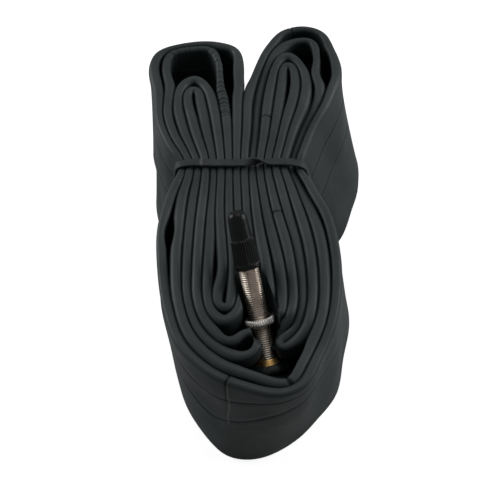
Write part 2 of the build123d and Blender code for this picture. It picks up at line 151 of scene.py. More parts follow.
def smooth_route(rows, step):
    """An evenly stepped closed curve through the rows (centripetal Catmull-Rom)."""
    count = len(rows)
    fine = []
    for i in range(count):
        p0, p1, p2, p3 = rows[i - 1], rows[i], rows[(i + 1) % count], rows[(i + 2) % count]
        t0 = 0.0
        t1 = t0 + np.linalg.norm((p1 - p0)[:2]) ** 0.5
        t2 = t1 + np.linalg.norm((p2 - p1)[:2]) ** 0.5
        t3 = t2 + np.linalg.norm((p3 - p2)[:2]) ** 0.5
        for t in np.linspace(t1, t2, POINTS_A_STRETCH, endpoint=False):
            a1 = (t1 - t) / (t1 - t0) * p0 + (t - t0) / (t1 - t0) * p1
            a2 = (t2 - t) / (t2 - t1) * p1 + (t - t1) / (t2 - t1) * p2
            a3 = (t3 - t) / (t3 - t2) * p2 + (t - t2) / (t3 - t2) * p3
            b1 = (t2 - t) / (t2 - t0) * a1 + (t - t0) / (t2 - t0) * a2
            b2 = (t3 - t) / (t3 - t1) * a2 + (t - t1) / (t3 - t1) * a3
            fine.append((t2 - t) / (t2 - t1) * b1 + (t - t1) / (t2 - t1) * b2)
    closed = np.array(fine + fine[:1])
    strides = np.linalg.norm(np.diff(closed[:, :2], axis=0), axis=1)
    travelled = np.concatenate([[0], np.cumsum(strides)])
    places = np.linspace(0, travelled[-1], int(travelled[-1] / step), endpoint=False)
    even = np.stack([np.interp(places, travelled, row) for row in closed.T], axis=1)
    return even, places


def stand(rim, share):
    """The plan of the tube at a share of its width: 1 at the upper rim, 0 at the floor."""
    pull = 0.55 + 0.45 * ramp(share, 0.0, 0.54) - 1.0 * ramp(share, 0.50, 0.90)
    x = LEAN_LINE_X + (rim[:, 0] - LEAN_LINE_X) * (1 + rim[:, 4] * (1 - share))
    return np.stack([x, rim[:, 1] + rim[:, 5] * pull + rim[:, 3] * (1 - share)], axis=1)


def sideways(plan):
    """Unit normals of a closed plan curve, to its left."""
    ahead = np.roll(plan, -1, axis=0) - np.roll(plan, 1, axis=0)
    ahead /= np.linalg.norm(ahead, axis=1, keepdims=True)
    return np.stack([-ahead[:, 1], ahead[:, 0]], axis=1)


def soften(rows, reach):
    """Rounds off a closed, evenly stepped row over a reach in millimetres."""
    rows = rows if rows.ndim > 1 else rows[:, None]
    pitch = np.fft.rfftfreq(len(rows), FINE_STEP)
    keep = np.exp(-2 * (np.pi * pitch * reach) ** 2)[:, None]
    return np.fft.irfft(np.fft.rfft(rows, axis=0) * keep, len(rows), axis=0)


rim, along = smooth_route(route_rows(ROUTE), FINE_STEP)
rim = np.hstack([soften(rim[:, :2], 0.8), soften(rim[:, 2:], 2.5)])
tube_length = along[-1] + FINE_STEP
count = len(rim)
rng = np.random.default_rng(7)


def wander(reach):
    """Soft random values along the tube, between -1 and 1."""
    row = soften(rng.normal(size=count), reach)[:, 0]
    return row / np.abs(row).max()


def place_of(x, y):
    """How far along the tube its upper rim passes a point."""
    return along[np.argmin(np.hypot(rim[:, 0] - x, rim[:, 1] - y))]


def apart(place):
    """Distance along the tube from a place, the short way round."""
    gap = np.abs(along - place)
    return np.minimum(gap, tube_length - gap)


# Each rolled rim swells on either side until it meets the leg beside it.
FREE_BEAD = 1.2             # half thickness of a rim with nothing beside it
BEAD_RANGE = (1.05, 1.95)
FOOT_RANGE = (1.05, 3.4)
PRESSED_IN = 0.03           # how far two rims that touch flatten each other
SAME_LEG = 8.0              # a point nearer than this along the tube is not another leg
BESIDE = 0.55               # how square to the face another leg has to stand
BEAD_WANDER = 0.05
thin = slice(None, None, PLAIN_EVERY)


def swelling(share, limits):
    """Half thickness of a rim towards its two faces, by the room beside it."""
    plan, where = stand(rim, share)[thin], along[thin]
    out = sideways(plan)
    beads = {1: np.empty(len(plan)), -1: np.empty(len(plan))}
    for i, here in enumerate(plan):
        gap = np.abs(where - where[i])
        away = plan[np.minimum(gap, tube_length - gap) > SAME_LEG] - here
        reach = np.hypot(*away.T)
        facing = away @ out[i] / reach
        for face in beads:
            beside = reach[facing * face > BESIDE]
            nearest = beside.min() if len(beside) else math.inf
            meets = nearest < 2.6 * limits[1]
            beads[face][i] = np.clip(nearest / 2 + PRESSED_IN, *limits) if meets else FREE_BEAD
    evened = {face: soften(np.interp(along, where, row, period=tube_length), 1.6)[:, 0]
              for face, row in beads.items()}
    return {face: row + BEAD_WANDER * wander(4.0) for face, row in evened.items()}


top_bead = swelling(1.0, BEAD_RANGE)
foot_bead = swelling(0.0, FOOT_RANGE)

# At the corners of the top folds the outer face bellies out: corner, how far, over what reach.
CORNER_BELLIES = [((-33.4, 46), 0.8, 9.0), ((-6.3, 51), 1.5, 8.0), ((26.4, 52), 1.2, 9.0)]
for corner, belly, reach in CORNER_BELLIES:
    top_bead[1] = top_bead[1] + belly * np.exp(-(apart(place_of(*corner)) / reach) ** 2)

# The band presses the rims down where it crosses them, the outermost legs most.
BAND_PRESS = 0.3
OUTER_LEGS_PRESS = 1.0
RIM_WANDER = 0.4
at_waist = np.exp(-((rim[:, 1] - WAIST_Y) / 3.0) ** 2)
outermost = ramp(np.abs(rim[:, 0] - LEAN_LINE_X), 14.5, 18.4)
pressed = (BAND_PRESS + OUTER_LEGS_PRESS * outermost) * at_waist
sink = rim[:, 2] + pressed + RIM_WANDER * (1 + wander(14.0))

# Creases across the tube: place, depth, half width. Leg 7 is pleated all along its top fold,
# tightest near the band. The seams stand alone.
PLEAT_HALF = 0.24
creases = []
pleat_at, tight_end = place_of(-9.9, 30.0), place_of(-10.9, 40.0)
leg_end, pleat_end = place_of(-12.6, 55.0), place_of(-28.0, 56.0)
while pleat_at < pleat_end:
    deepest, spacing = 0.22 if pleat_at < leg_end else 0.12, (1.4, 3.2)
    if pleat_at < leg_end:
        spacing = (0.6, 1.7) if pleat_at < tight_end else (1.1, 3.0)
    creases.append((pleat_at, rng.uniform(0.05, deepest), PLEAT_HALF))
    pleat_at += rng.uniform(*spacing)
seams = [(place_of(3.6, 30.0), 0.2, 0.25), (place_of(6.7, -8.5), 0.2, 0.25),
         (place_of(13.0, 68.4), 0.16, 0.3), (place_of(8.8, -65.0), 0.3, 0.5),
         (place_of(-8.1, -65.6), 0.22, 0.35)]
pleat = np.zeros(count)
for place, deep, half_width in creases + seams:
    pleat += deep * np.exp(-(apart(place) / half_width) ** 2)
splice_place = place_of(-7.4, -66.0)
fine_rows = (pleat > 0.002) | (apart(splice_place) < 1.5)
fine_rows |= np.roll(fine_rows, 1) | np.roll(fine_rows, -1) | (np.arange(count) % PLAIN_EVERY == 0)

# Depths below the upper rim at which the section has a point, down each face. The outer face
# has two moulding lines.
ROLL_STEPS = 7
roll_turns = [math.pi / 2 * k / ROLL_STEPS for k in range(ROLL_STEPS + 1)]
MOULD_LINES = (10.8, 22.4)
LINE_HALF = 0.4
LINE_DEPTH = 0.2
plain_web = [2.9, 3.8, 5.0, 6.6, 8.6, 10.8, 13, 15.5, 18, 20.2, 22.4, 24.6, 27, 29.5, 32, 34.5, 37,
             39.5, 41.6, 43.4, 45, 46.2, 47.1]
lined_web = sorted([d for d in plain_web if d not in MOULD_LINES]
                   + [line + k * LINE_HALF for line in MOULD_LINES for k in (-1, -0.35, 0.35, 1)])


def face_columns(face):
    """(depth or roll turn, at which rim, face) from the upper rim to the lower one."""
    web = lined_web if face > 0 else plain_web
    return ([("top", t, face) for t in roll_turns] + [("web", d, face) for d in web]
            + [("foot", t, face) for t in reversed(roll_turns)])


section = face_columns(1) + face_columns(-1)[-2:0:-1]
# The moulding lines wander up and down: a point passed, the lift of the upper and lower line.
LINE_WANDER = 0.5
LINE_STATIONS = [
    ((23.9, -21), 0, 0), ((24.1, -34), -3, -2), ((22.1, -46), -2, 1.5), ((17.8, -57.3), 3.6, 7.5),
    ((12.8, -66.4), 6.4, 10), ((6.2, -69), 6, 8.2), ((-3.6, -66.8), 1.4, 0.8), ((-8.1, -65), -1, -5),
    ((-12.6, -62.6), -2.7, -9.8), ((-17.2, -58.6), -2, -7), ((-21.2, -54), -0.6, -1),
    ((-25.6, -42), 0, 0),
]
line_places, *lifts = np.array([(place_of(*spot), *lift) for spot, *lift in LINE_STATIONS]).T
lifts = [np.interp(along, line_places, lift, left=0, right=0) + LINE_WANDER * wander(30.0)
         for lift in lifts]
upper_lift, lower_lift = [soften(lift, 4.0)[:, 0] for lift in lifts]

RIM_FADES = 7.0             # how fast a rim thins into the flat of the tube
CREASE_FADES = 9.0          # how fast a crease dies away below the rim
TIGHTEST = 0.9              # share of a bend's radius that the inner wall may take up
SPLICE_HALF = 0.22
SPLICE_HEIGHT = 0.12
SPLICE_ENDS = 23.0
NOTCH_HEIGHT = 1.15         # under the band the feet are pressed up off the floor
NOTCH_HALF = 2.7
columns, groove_shade_marks, chalk_marks = [], [], []
for kind, at, face in section:
    if kind == "web":
        upper_share = np.interp(at, [3, MOULD_LINES[0], MOULD_LINES[1]], [0, 1, 0])
        lower_share = np.interp(at, [MOULD_LINES[0], MOULD_LINES[1], 45], [0, 1, 0])
        depth = at - upper_share * upper_lift - lower_share * lower_lift
        below_top = np.maximum(depth - top_bead[face], 0)
        above_foot = np.maximum(FLAT_WIDTH - depth - foot_bead[face], 0)
        thickness = WEB_HALF + (top_bead[face] - WEB_HALF) * np.exp(-below_top / RIM_FADES)
        thickness = thickness + (foot_bead[face] - WEB_HALF) * np.exp(-above_foot / RIM_FADES)
    else:
        rolled = top_bead if kind == "top" else foot_bead
        from_edge = (rolled[1] + rolled[-1]) / 2 * (1 - math.cos(at))
        thickness = rolled[face] * math.sin(at)
        depth = from_edge if kind == "top" else FLAT_WIDTH - from_edge
    to_line = min(abs(at - line) for line in MOULD_LINES)
    in_line = float(face > 0 and kind == "web" and to_line < LINE_HALF / 2)
    thickness = thickness - LINE_DEPTH * in_line
    near_top = np.exp(-depth / CREASE_FADES)
    thickness = thickness - pleat * near_top * (thickness > 0.5)
    on_front = face > 0 and at < SPLICE_ENDS and kind != "foot"
    from_splice = apart(splice_place + 0.35 * np.sin(depth / 3.1))
    splice = np.exp(-(from_splice / SPLICE_HALF) ** 2) * on_front
    thickness = thickness + SPLICE_HEIGHT * splice * (thickness > 0.5)
    share = 1 - depth / FLAT_WIDTH
    plan = stand(rim, share)
    ahead = np.roll(plan, -1, axis=0) - plan
    stride = np.hypot(*ahead.T)
    heading = np.unwrap(np.arctan2(ahead[:, 1], ahead[:, 0]))
    turn = (heading - np.roll(heading, 1) + np.pi) % (2 * np.pi) - np.pi
    bend = soften(turn / stride, 0.6)[:, 0] * face
    tightest = TIGHTEST / np.maximum(bend, 1e-3)
    thickness = np.where(bend > 0, np.minimum(thickness, tightest), thickness)
    plan = plan + sideways(plan) * (face * soften(thickness, 0.12))
    height = (FLAT_WIDTH - sink) * share - pleat * near_top * (1 if kind == "top" else 0)
    notch = NOTCH_HEIGHT * ramp(NOTCH_HALF - np.abs(plan[:, 1] - WAIST_Y), 0.0, 0.8)
    columns.append(np.column_stack([plan, np.maximum(height, notch)]))
    # painted shade: the creases near the upper rim and the moulding lines are marked here to be painted
    # near black
    groove_shade_marks.append(np.clip(pleat * 6, 0, 1) * near_top + in_line)
    chalk_marks.append(splice * ramp(depth, 0.6, 2.4))
skin = np.stack(columns, axis=1)      # sections along the tube, points round each


def in_place(up, across, over):
    """Points from their heights along the valve's axis and offsets to its side and upper side."""
    up, across, over = up[..., None], across[..., None], over[..., None]
    return VALVE_FOOT + up * VALVE_AXIS + across * ACROSS + over * UPPER


VALVE_ROOM = 4.75           # bare distance round the valve's axis
FOOT_ROOM = 0.6             # and this much more round its foot
OPEN_ABOVE = 14.0           # how far above the axis the legs are pressed aside


def make_room(points):
    """Presses the rubber out of the valve's way: round the stem, and aside above its upper part."""
    offset = points - VALVE_FOOT
    up = offset @ VALVE_AXIS
    across, over = offset @ ACROSS, offset @ UPPER
    distance = np.hypot(across, over)
    radius = (VALVE_ROOM + FOOT_ROOM * ramp(1.8 - up, 0.0, 0.6)) * ramp(up, -0.3, 0.3)
    inside = (distance < radius) & (up > -0.3)
    scale = np.where(inside, radius / np.maximum(distance, 1e-6), 1.0)
    across, over = across * scale, over * scale
    aside = radius * ramp(up, 8.0, 11.0)
    above = (over > 0) & (over < OPEN_ABOVE) & (np.abs(across) < aside)
    across = np.where(above, np.copysign(aside, across), across)
    return in_place(up, across, over)


skin = make_room(skin)


def closed_skin(name, grid, marks=None):
    """A mesh from rows of points in millimetres, closed both along and round."""
    rows, ring = grid.shape[:2]
    index = np.arange(rows * ring).reshape(rows, ring)
    after = np.roll(index, -1, 0)
    quads = np.stack([index, np.roll(index, -1, 1), np.roll(after, -1, 1), after], -1)
    mesh = bpy.data.meshes.new(name)
    mesh.from_pydata((grid.reshape(-1, 3) * MM).tolist(), [], quads.reshape(-1, 4).tolist())
    mesh.shade_smooth()
    for mark, values in (marks or {}).items():
        layer = mesh.attributes.new(mark, "FLOAT", "POINT")
        layer.data.foreach_set("value", np.asarray(values, np.float32).ravel())
    piece = bpy.data.objects.new(name, mesh)
    bpy.context.scene.collection.objects.link(piece)
    return piece


def shaded(name, roughness, **sockets):
    """A new material, its node tree and its shader, with the plain values on its sockets."""
    material = bpy.data.materials.new(name)
    material.use_nodes = True
    shader = material.node_tree.nodes["Principled BSDF"]
    shader.inputs["Roughness"].default_value = roughness
    for socket, value in sockets.items():
        shader.inputs[socket.replace("_", " ")].default_value = value
    return material, material.node_tree, shader


def grain(tree, scale, detail=3.0, roughness=0.55):
    """Noise over the object, with a scale in features to the metre."""
    place = tree.nodes.new("ShaderNodeTexCoord")
    noise = tree.nodes.new("ShaderNodeTexNoise")
    noise.inputs["Scale"].default_value = scale
    noise.inputs["Detail"].default_value = detail
    noise.inputs["Roughness"].default_value = roughness
    tree.links.new(place.outputs["Object"], noise.inputs["Vector"])
    return noise.outputs["Fac"]


def stepped(tree, value, stops):
    """Colours along a value: (position, (red, green, blue)) stops."""
    ramp_node = tree.nodes.new("ShaderNodeValToRGB")
    band = ramp_node.color_ramp
    while len(band.elements) < len(stops):
        band.elements.new(0.5)
    for element, (position, colour) in zip(band.elements, stops):
        element.position = position
        element.color = (*colour, 1)
    tree.links.new(value, ramp_node.inputs["Fac"])
    return ramp_node.outputs["Color"]


def blended(tree, factor, first, second):
    """Two colours mixed by a factor; either may be a plain colour."""
    mix = tree.nodes.new("ShaderNodeMix")
    mix.data_type = "RGBA"
    for name, value in (("Factor", factor), ("A", first), ("B", second)):
        socket = mix.inputs[name]
        if isinstance(value, (int, float)):
            socket.default_value = value
        elif isinstance(value, tuple):
            socket.default_value = (*value, 1)
        else:
            tree.links.new(value, socket)
    return [o for o in mix.outputs if o.type == "RGBA"][0]


def mark_on(tree, name):
    """A value painted on the mesh."""
    node = tree.nodes.new("ShaderNodeAttribute")
    node.attribute_name = name
    return node.outputs["Fac"]


def remapped(tree, value, low, high, to_low, to_high):
    """A value moved from one range to another and held inside it."""
    node = tree.nodes.new("ShaderNodeMapRange")
    limits = {"From Min": low, "From Max": high, "To Min": to_low, "To Max": to_high}
    for socket, number in limits.items():
        node.inputs[socket].default_value = number
    tree.links.new(value, node.inputs["Value"])
    return node.outputs["Result"]


def finished(tree, shader, colour, roughness):
    """The colour and the roughness worked out for a surface, on its shader."""
    tree.links.new(colour, shader.inputs["Base Color"])
    tree.links.new(roughness, shader.inputs["Roughness"])


def roughened(tree, shader, heights):
    """Bumps on the shader, one over another: (height, strength, depth in mm)."""
    normal = None
    for height, strength, deep in heights:
        node = tree.nodes.new("ShaderNodeBump")
        node.inputs["Strength"].default_value = strength
        node.inputs["Distance"].default_value = deep * MM
        tree.links.new(height, node.inputs["Height"])
        if normal:
            tree.links.new(normal, node.inputs["Normal"])
        normal = node.outputs["Normal"]
    tree.links.new(normal, shader.inputs["Normal"])


# butyl rubber, dusted with talc: dull blue black, paler where it was handled. Its creases and moulding
# lines are painted near black: painted shade.
BUTYL_DARK = (0.0130, 0.0180, 0.0195)
BUTYL_PALE = (0.0245, 0.0300, 0.0310)
TALC = (0.07, 0.075, 0.075)
GROOVE_PAINTED_SHADE = (0.002, 0.0025, 0.003)
SPLICE_GREY = (0.10, 0.105, 0.10)
GROOVE_ROUGHNESS = (0.95, 0.95, 0.95)
rubber, tree, shader = shaded("butyl_rubber", 0.5, Specular_IOR_Level=0.2)
handled = grain(tree, 55, 4)
groove_shade_mask = mark_on(tree, "groove_shade")
body = stepped(tree, handled, [(0.32, BUTYL_DARK), (0.68, BUTYL_PALE)])
body = blended(tree, remapped(tree, grain(tree, 1500, 2), 0.68, 0.78, 0, 0.35), body, TALC)
# painted shade: near black in the creases and moulding lines, where shade falls
body = blended(tree, remapped(tree, groove_shade_mask, 0, 1, 0, 0.85), body, GROOVE_PAINTED_SHADE)
body = blended(tree, remapped(tree, mark_on(tree, "chalk"), 0, 1, 0, 0.8), body, SPLICE_GREY)
dulled = blended(tree, groove_shade_mask, remapped(tree, handled, 0.3, 0.7, 0.60, 0.46), GROOVE_ROUGHNESS)
finished(tree, shader, body, dulled)
roughened(tree, shader, [(grain(tree, 260, 3), 0.25, 0.25), (grain(tree, 2600, 2), 0.25, 0.04)])

tube_marks = {"groove_shade": np.stack(groove_shade_marks, 1)[fine_rows],
              "chalk": np.stack(chalk_marks, 1)[fine_rows]}
tube = closed_skin("flat_tube", skin[fine_rows], tube_marks)
tube.data.materials.append(rubber)
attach(tube, "tube")
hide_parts("tube_body")

# ---------------------------------------------------------------------------------------
# The rubber band. A flat loop cut from thin rubber sheet, stretched round the waist of the
# bundle. It lies twisted over once on top, and it has a glued joint.
# ---------------------------------------------------------------------------------------
BAND_WIDTH = 2.8
BAND_HALF_THICK = 0.4
BAND_TOP_Z = 50.2
BAND_FOOT_Z = 0.5
TWIST_X = 0.6
JOINT_X = -17.0

waist_rows = np.abs(rim[:, 1] - WAIST_Y) < 1.3
flank = []
for column in range(len(section) // 2):
    ring = skin[waist_rows, column]
    flank.append((ring[:, 0].min(), ring[:, 0].max(), ring[:, 2].mean()))
flank = np.array(flank)
flank = flank[(flank[:, 2] < 48.0) & (flank[:, 2] > 3.0)][::-1]
off_face = BAND_HALF_THICK + 0.12
left_x, right_x = flank[-1, 0] - off_face, flank[-1, 1] + off_face
shoulder = [(0.9, 1.3), (2.6, 0.6), (4.6, 0.15)]      # in from the flank, down from the top
loop = [(x - off_face, z) for x, _, z in flank] + [(left_x + i, BAND_TOP_Z - d) for i, d in shoulder]
loop += [(x, BAND_TOP_Z) for x in np.arange(left_x + 7, right_x - 6, 2.0)]
loop += [(right_x - i, BAND_TOP_Z - d) for i, d in shoulder[::-1]]
loop += [(x + off_face, z) for _, x, z in flank[::-1]]
loop += [(x, BAND_FOOT_Z) for x in np.linspace(flank[0, 1], flank[0, 0], 12)]
loop = np.array(loop + loop[:1])
runs = np.concatenate([[0], np.cumsum(np.hypot(*np.diff(loop, axis=0).T))])
even = np.linspace(0, runs[-1], int(runs[-1] / FINE_STEP), endpoint=False)
band_line = soften(np.stack([np.interp(even, runs, loop[:, k]) for k in (0, 1)], axis=1), 0.9)[::2]
band_ahead = np.roll(band_line, -1, axis=0) - np.roll(band_line, 1, axis=0)
band_ahead /= np.linalg.norm(band_ahead, axis=1, keepdims=True)
outward = np.stack([-band_ahead[:, 1], band_ahead[:, 0]], axis=1)
on_top = band_line[:, 1] > FLAT_WIDTH / 2
twist = np.pi * np.where(on_top, ramp(band_line[:, 0], TWIST_X - 5.5, TWIST_X + 5.5),
                         ramp(band_line[:, 0], -12.0, 12.0))
sway = 0.25 * np.sin(band_line[:, 0] / 6.0) * on_top
joint = np.exp(-((band_line[:, 0] - JOINT_X) / 0.25) ** 2) * (band_line[:, 1] > 49)
edge = [(1, 0.25), (0.92, 0.8), (0.75, 1), (0.35, 1), (-0.35, 1), (-0.75, 1), (-0.92, 0.8), (-1, 0.25)]
outline = edge + [(-w, -t) for w, t in edge]
band_grid = []
for across, thick in outline:
    wide = across * BAND_WIDTH / 2
    deep = thick * (BAND_HALF_THICK + 0.08 * joint)
    y = WAIST_Y + sway + np.cos(twist) * wide - np.sin(twist) * deep
    out = np.sin(twist) * wide + np.cos(twist) * deep
    rise_over = 0.75 * np.abs(np.sin(twist)) * on_top
    band_grid.append(np.column_stack([band_line[:, 0] + outward[:, 0] * out, y,
                                      band_line[:, 1] + outward[:, 1] * out + rise_over]))
band_grid = np.stack(band_grid, axis=1)
band_marks = np.repeat(joint[:, None], len(outline), axis=1)

band_rubber, tree, shader = shaded("band_rubber", 0.5, Specular_IOR_Level=0.2)
worn = grain(tree, 180, 4)
body = stepped(tree, worn, [(0.3, (0.009, 0.012, 0.013)), (0.7, (0.019, 0.023, 0.024))])
glue = remapped(tree, mark_on(tree, "joint"), 0, 1, 0, 0.7)
body = blended(tree, glue, body, (0.12, 0.12, 0.12))
finished(tree, shader, body, remapped(tree, worn, 0.3, 0.7, 0.6, 0.45))
roughened(tree, shader, [(grain(tree, 900, 3), 0.3, 0.08)])
band = closed_skin("twisted_band", band_grid, {"joint": band_marks})
band.data.materials.append(band_rubber)
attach(band, "tube")
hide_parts("rubber_band")

# ---------------------------------------------------------------------------------------
# The patch round the valve's foot. A thick rubber boss moulded on the tube's inner face,
# where the brass foot is bonded in. Its top is domed and creased by the fold.
# ---------------------------------------------------------------------------------------


def turned(name, stations, around, relief=None, marks=None):
    """A piece turned about the valve's axis from a closed outline of (height, radius)."""
    heights, radii = np.array(stations, float).T
    turns = np.linspace(0, 2 * np.pi, around, endpoint=False)
    s, t = np.meshgrid(heights, turns, indexing="ij")
    r = np.repeat(radii[:, None], around, axis=1)
    across, upper = r * np.cos(t), r * np.sin(t)
    if relief:
        across, upper, s = relief(s, t, r)
    values = {mark: paint(s, t, r) for mark, paint in (marks or {}).items()}
    return closed_skin(name, in_place(s, across, upper), values)


def dome_wrinkles(s, t, r):
    """The boss is a little oval and lobed, and creased on one side."""
    lobe = 1 + 0.10 * np.cos(2 * t) + 0.02 * np.cos(9 * t + 1.0)
    fold = 0.28 * np.exp(-((np.sin(t + 0.9) * r - 1.2) / 0.35) ** 2) * (r > 3.8)
    return r * lobe * np.cos(t), r * lobe * np.sin(t), s - fold


patch_outline = [(-0.3, 3.62), (0.02, 3.7), (0.1, 3.95), (0.0, 4.3), (-0.15, 4.7), (-0.4, 5.2),
                 (-0.75, 5.6), (-1.2, 5.9), (-1.8, 6.0), (-2.5, 6.0), (-2.5, 3.7), (-0.6, 3.62)]
patch_rubber, tree, shader = shaded("patch_rubber", 0.5, Specular_IOR_Level=0.4)
scuffed = grain(tree, 140, 4)
body = stepped(tree, scuffed, [(0.3, (0.009, 0.012, 0.013)), (0.7, (0.018, 0.021, 0.022))])
finished(tree, shader, body, remapped(tree, scuffed, 0.3, 0.7, 0.6, 0.42))
roughened(tree, shader, [(grain(tree, 700, 4), 0.35, 0.15)])
patch = turned("valve_boss", patch_outline, 96, dome_wrinkles)
patch.data.materials.append(patch_rubber)
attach(patch, "tube")
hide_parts("valve_patch")

# ---------------------------------------------------------------------------------------
# The brass foot. A turned, flared collar left in bare brass, bonded into the boss.
# ---------------------------------------------------------------------------------------
brass, tree, shader = shaded("bare_brass", 0.4, Metallic=1.0)
stain = grain(tree, 420, 4)
body = stepped(tree, stain, [(0.3, (0.46, 0.26, 0.08)), (0.62, (0.82, 0.54, 0.20))])
finished(tree, shader, body, remapped(tree, stain, 0.3, 0.7, 0.5, 0.36))
roughened(tree, shader, [(grain(tree, 2500, 2), 0.2, 0.03)])
foot_outline = [(-1.3, 3.05), (-1.3, 4.2), (-0.5, 4.25), (-0.1, 4.1), (0.15, 3.95), (0.5, 3.72),
                (0.9, 3.52), (1.2, 3.42), (1.36, 3.34), (1.4, 3.2), (1.4, 3.05), (0.4, 3.05)]
foot = turned("flared_foot", foot_outline, 96)
foot.data.materials.append(brass)
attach(foot, "tube")
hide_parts("valve_base")

# ---------------------------------------------------------------------------------------
# The stem. A nickel-plated brass barrel with a rolled thread from foot to shoulder, two
# flats milled along its upper part, and a finer neck for the cap.
# ---------------------------------------------------------------------------------------
STEM_RADIUS = 3.0
THREAD_PITCH = 0.66
THREAD_DEPTH = 0.42
FLATS_START = 14.4
FLAT_HALF = 2.65
SHOULDER = 29.0
NECK_TOP = 33.0
NECK_RADIUS = 2.6
UNCUT = 9.0                 # a half width that cuts nothing off


def ridge(s, t, pitch):
    """0 in the root of a thread and 1 on its crest."""
    phase = (s / pitch - t / (2 * np.pi)) % 1.0
    return 1 - np.abs(2 * phase - 1) ** 1.4


def stem_relief(s, t, r):
    """Cuts the thread, then the two flats."""
    outside = r > 2.4
    depth = np.where(s < SHOULDER - 0.5, THREAD_DEPTH, 0.0) * ramp(s, 1.2, 2.0)
    depth = np.where(s > SHOULDER + 0.2, 0.22, depth)
    r = r - np.where(outside, depth * (1 - ridge(s, t, THREAD_PITCH)), 0)
    across, upper = r * np.cos(t), r * np.sin(t)
    milled = STEM_RADIUS - (STEM_RADIUS - FLAT_HALF) * ramp(s, FLATS_START, FLATS_START + 0.5)
    flat = np.where(outside & (s < SHOULDER), milled, UNCUT)
    return across, np.clip(upper, -flat, flat), s


def stem_tarnish(s, t, r):
    """Dark roots of the thread, and dull flats."""
    on_flat = (np.abs(np.sin(t)) * STEM_RADIUS > FLAT_HALF) & (s > FLATS_START)
    return np.where(on_flat, 0.8, 0.85 * (1 - ridge(s, t, THREAD_PITCH)) * (s < SHOULDER))


steps = list(np.arange(-1.6, SHOULDER - 0.31, THREAD_PITCH / 10))
stem_outline = ([(-1.6, 1.7)] + [(s, STEM_RADIUS) for s in steps]
                + [(SHOULDER - 0.3, 2.98), (SHOULDER, 2.7), (SHOULDER, NECK_RADIUS)]
                + [(s, NECK_RADIUS) for s in np.arange(SHOULDER + 0.1, NECK_TOP - 0.2, 0.1)]
                + [(NECK_TOP, 2.42), (NECK_TOP, 2.0), (22.2, 2.0), (22.0, 1.7), (10.0, 1.7)])
nickel, tree, shader = shaded("worn_nickel", 0.3, Metallic=1.0)
plating = grain(tree, 300, 4)
body = stepped(tree, plating, [(0.3, (0.46, 0.41, 0.35)), (0.65, (0.72, 0.66, 0.58))])
tarnish = remapped(tree, mark_on(tree, "tarnish"), 0, 1, 0, 0.92)
body = blended(tree, tarnish, body, (0.13, 0.085, 0.065))
finished(tree, shader, body, remapped(tree, plating, 0.3, 0.7, 0.46, 0.34))
roughened(tree, shader, [(grain(tree, 2200, 3), 0.25, 0.03)])
stem = turned("threaded_stem", stem_outline, 96, stem_relief, {"tarnish": stem_tarnish})
stem.data.materials.append(nickel)
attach(stem, "tube")
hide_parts("valve_stem")

# ---------------------------------------------------------------------------------------
# The lock ring. A thin bright nickel nut that runs on the stem's thread, with a chamfered
# and coarsely knurled edge for the fingers.
# ---------------------------------------------------------------------------------------
RING_SEAT = 11.6
RING_TOP = 13.9
RING_TEETH = 36


def ring_relief(s, t, r):
    """Cuts the knurling, and the thread in the bore."""
    tooth = np.abs((t * RING_TEETH / (2 * np.pi)) % 1.0 - 0.5) * 2
    cut = 0.45 * np.clip((tooth - 0.4) / 0.35, 0, 1)
    bore = np.where(r < 3.6, 0.15 * ridge(s, t, THREAD_PITCH), 0)
    r = r - np.where(r > 4.0, cut, 0) - bore
    return r * np.cos(t), r * np.sin(t), s


ring_outline = ([(RING_SEAT, 3.5), (RING_SEAT, 3.95), (RING_SEAT + 0.12, 4.3), (RING_SEAT + 0.35, 4.52),
                 (RING_SEAT + 1.1, 4.52), (RING_TOP - 0.35, 4.52), (RING_TOP - 0.12, 4.3),
                 (RING_TOP, 3.95), (RING_TOP, 3.5)]
                + [(s, 3.35) for s in np.arange(RING_TOP - 0.15, RING_SEAT + 0.1, -0.1)])
bright, tree, shader = shaded("bright_nickel", 0.18, Metallic=1.0)
rubbed = grain(tree, 500, 3)
body = stepped(tree, rubbed, [(0.3, (0.62, 0.60, 0.56)), (0.65, (0.86, 0.84, 0.80))])
finished(tree, shader, body, remapped(tree, rubbed, 0.3, 0.7, 0.38, 0.26))
roughened(tree, shader, [(grain(tree, 2500, 2), 0.15, 0.02)])
ring_piece = turned("knurled_ring", ring_outline, RING_TEETH * 10, ring_relief)
ring_piece.data.materials.append(bright)
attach(ring_piece, "ring")
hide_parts("lock_ring")

# ---------------------------------------------------------------------------------------
# The valve core. A brass head with two wrench flats, screwed into the neck, a long pin
# with its own thread, and the knurled nut that closes the valve. The cap hides them.
# ---------------------------------------------------------------------------------------
HEAD_TOP = 36.4
HEAD_HALF = 2.0
PIN_TOP = 43.0
NUT_FOOT = 37.9
NUT_TOP = 40.3
NUT_TEETH = 24


def head_relief(s, t, r):
    """Cuts the two wrench flats."""
    across = r * np.cos(t)
    half = np.where((s > NECK_TOP) & (r > 1.5), HEAD_HALF, UNCUT)
    return np.clip(across, -half, half), r * np.sin(t), s


def pin_relief(s, t, r):
    """Cuts the pin's thread above the head."""
    threaded = (r > 0.6) & (s > HEAD_TOP) & (s < PIN_TOP - 0.4)
    r = r - np.where(threaded, 0.14 * (1 - ridge(s, t, 0.5)), 0)
    return r * np.cos(t), r * np.sin(t), s


def nut_relief(s, t, r):
    """Cuts the knurling."""
    tooth = np.abs((t * NUT_TEETH / (2 * np.pi)) % 1.0 - 0.5) * 2
    r = r - np.where(r > 1.9, 0.16 * np.clip((tooth - 0.5) / 0.3, 0, 1), 0)
    return r * np.cos(t), r * np.sin(t), s


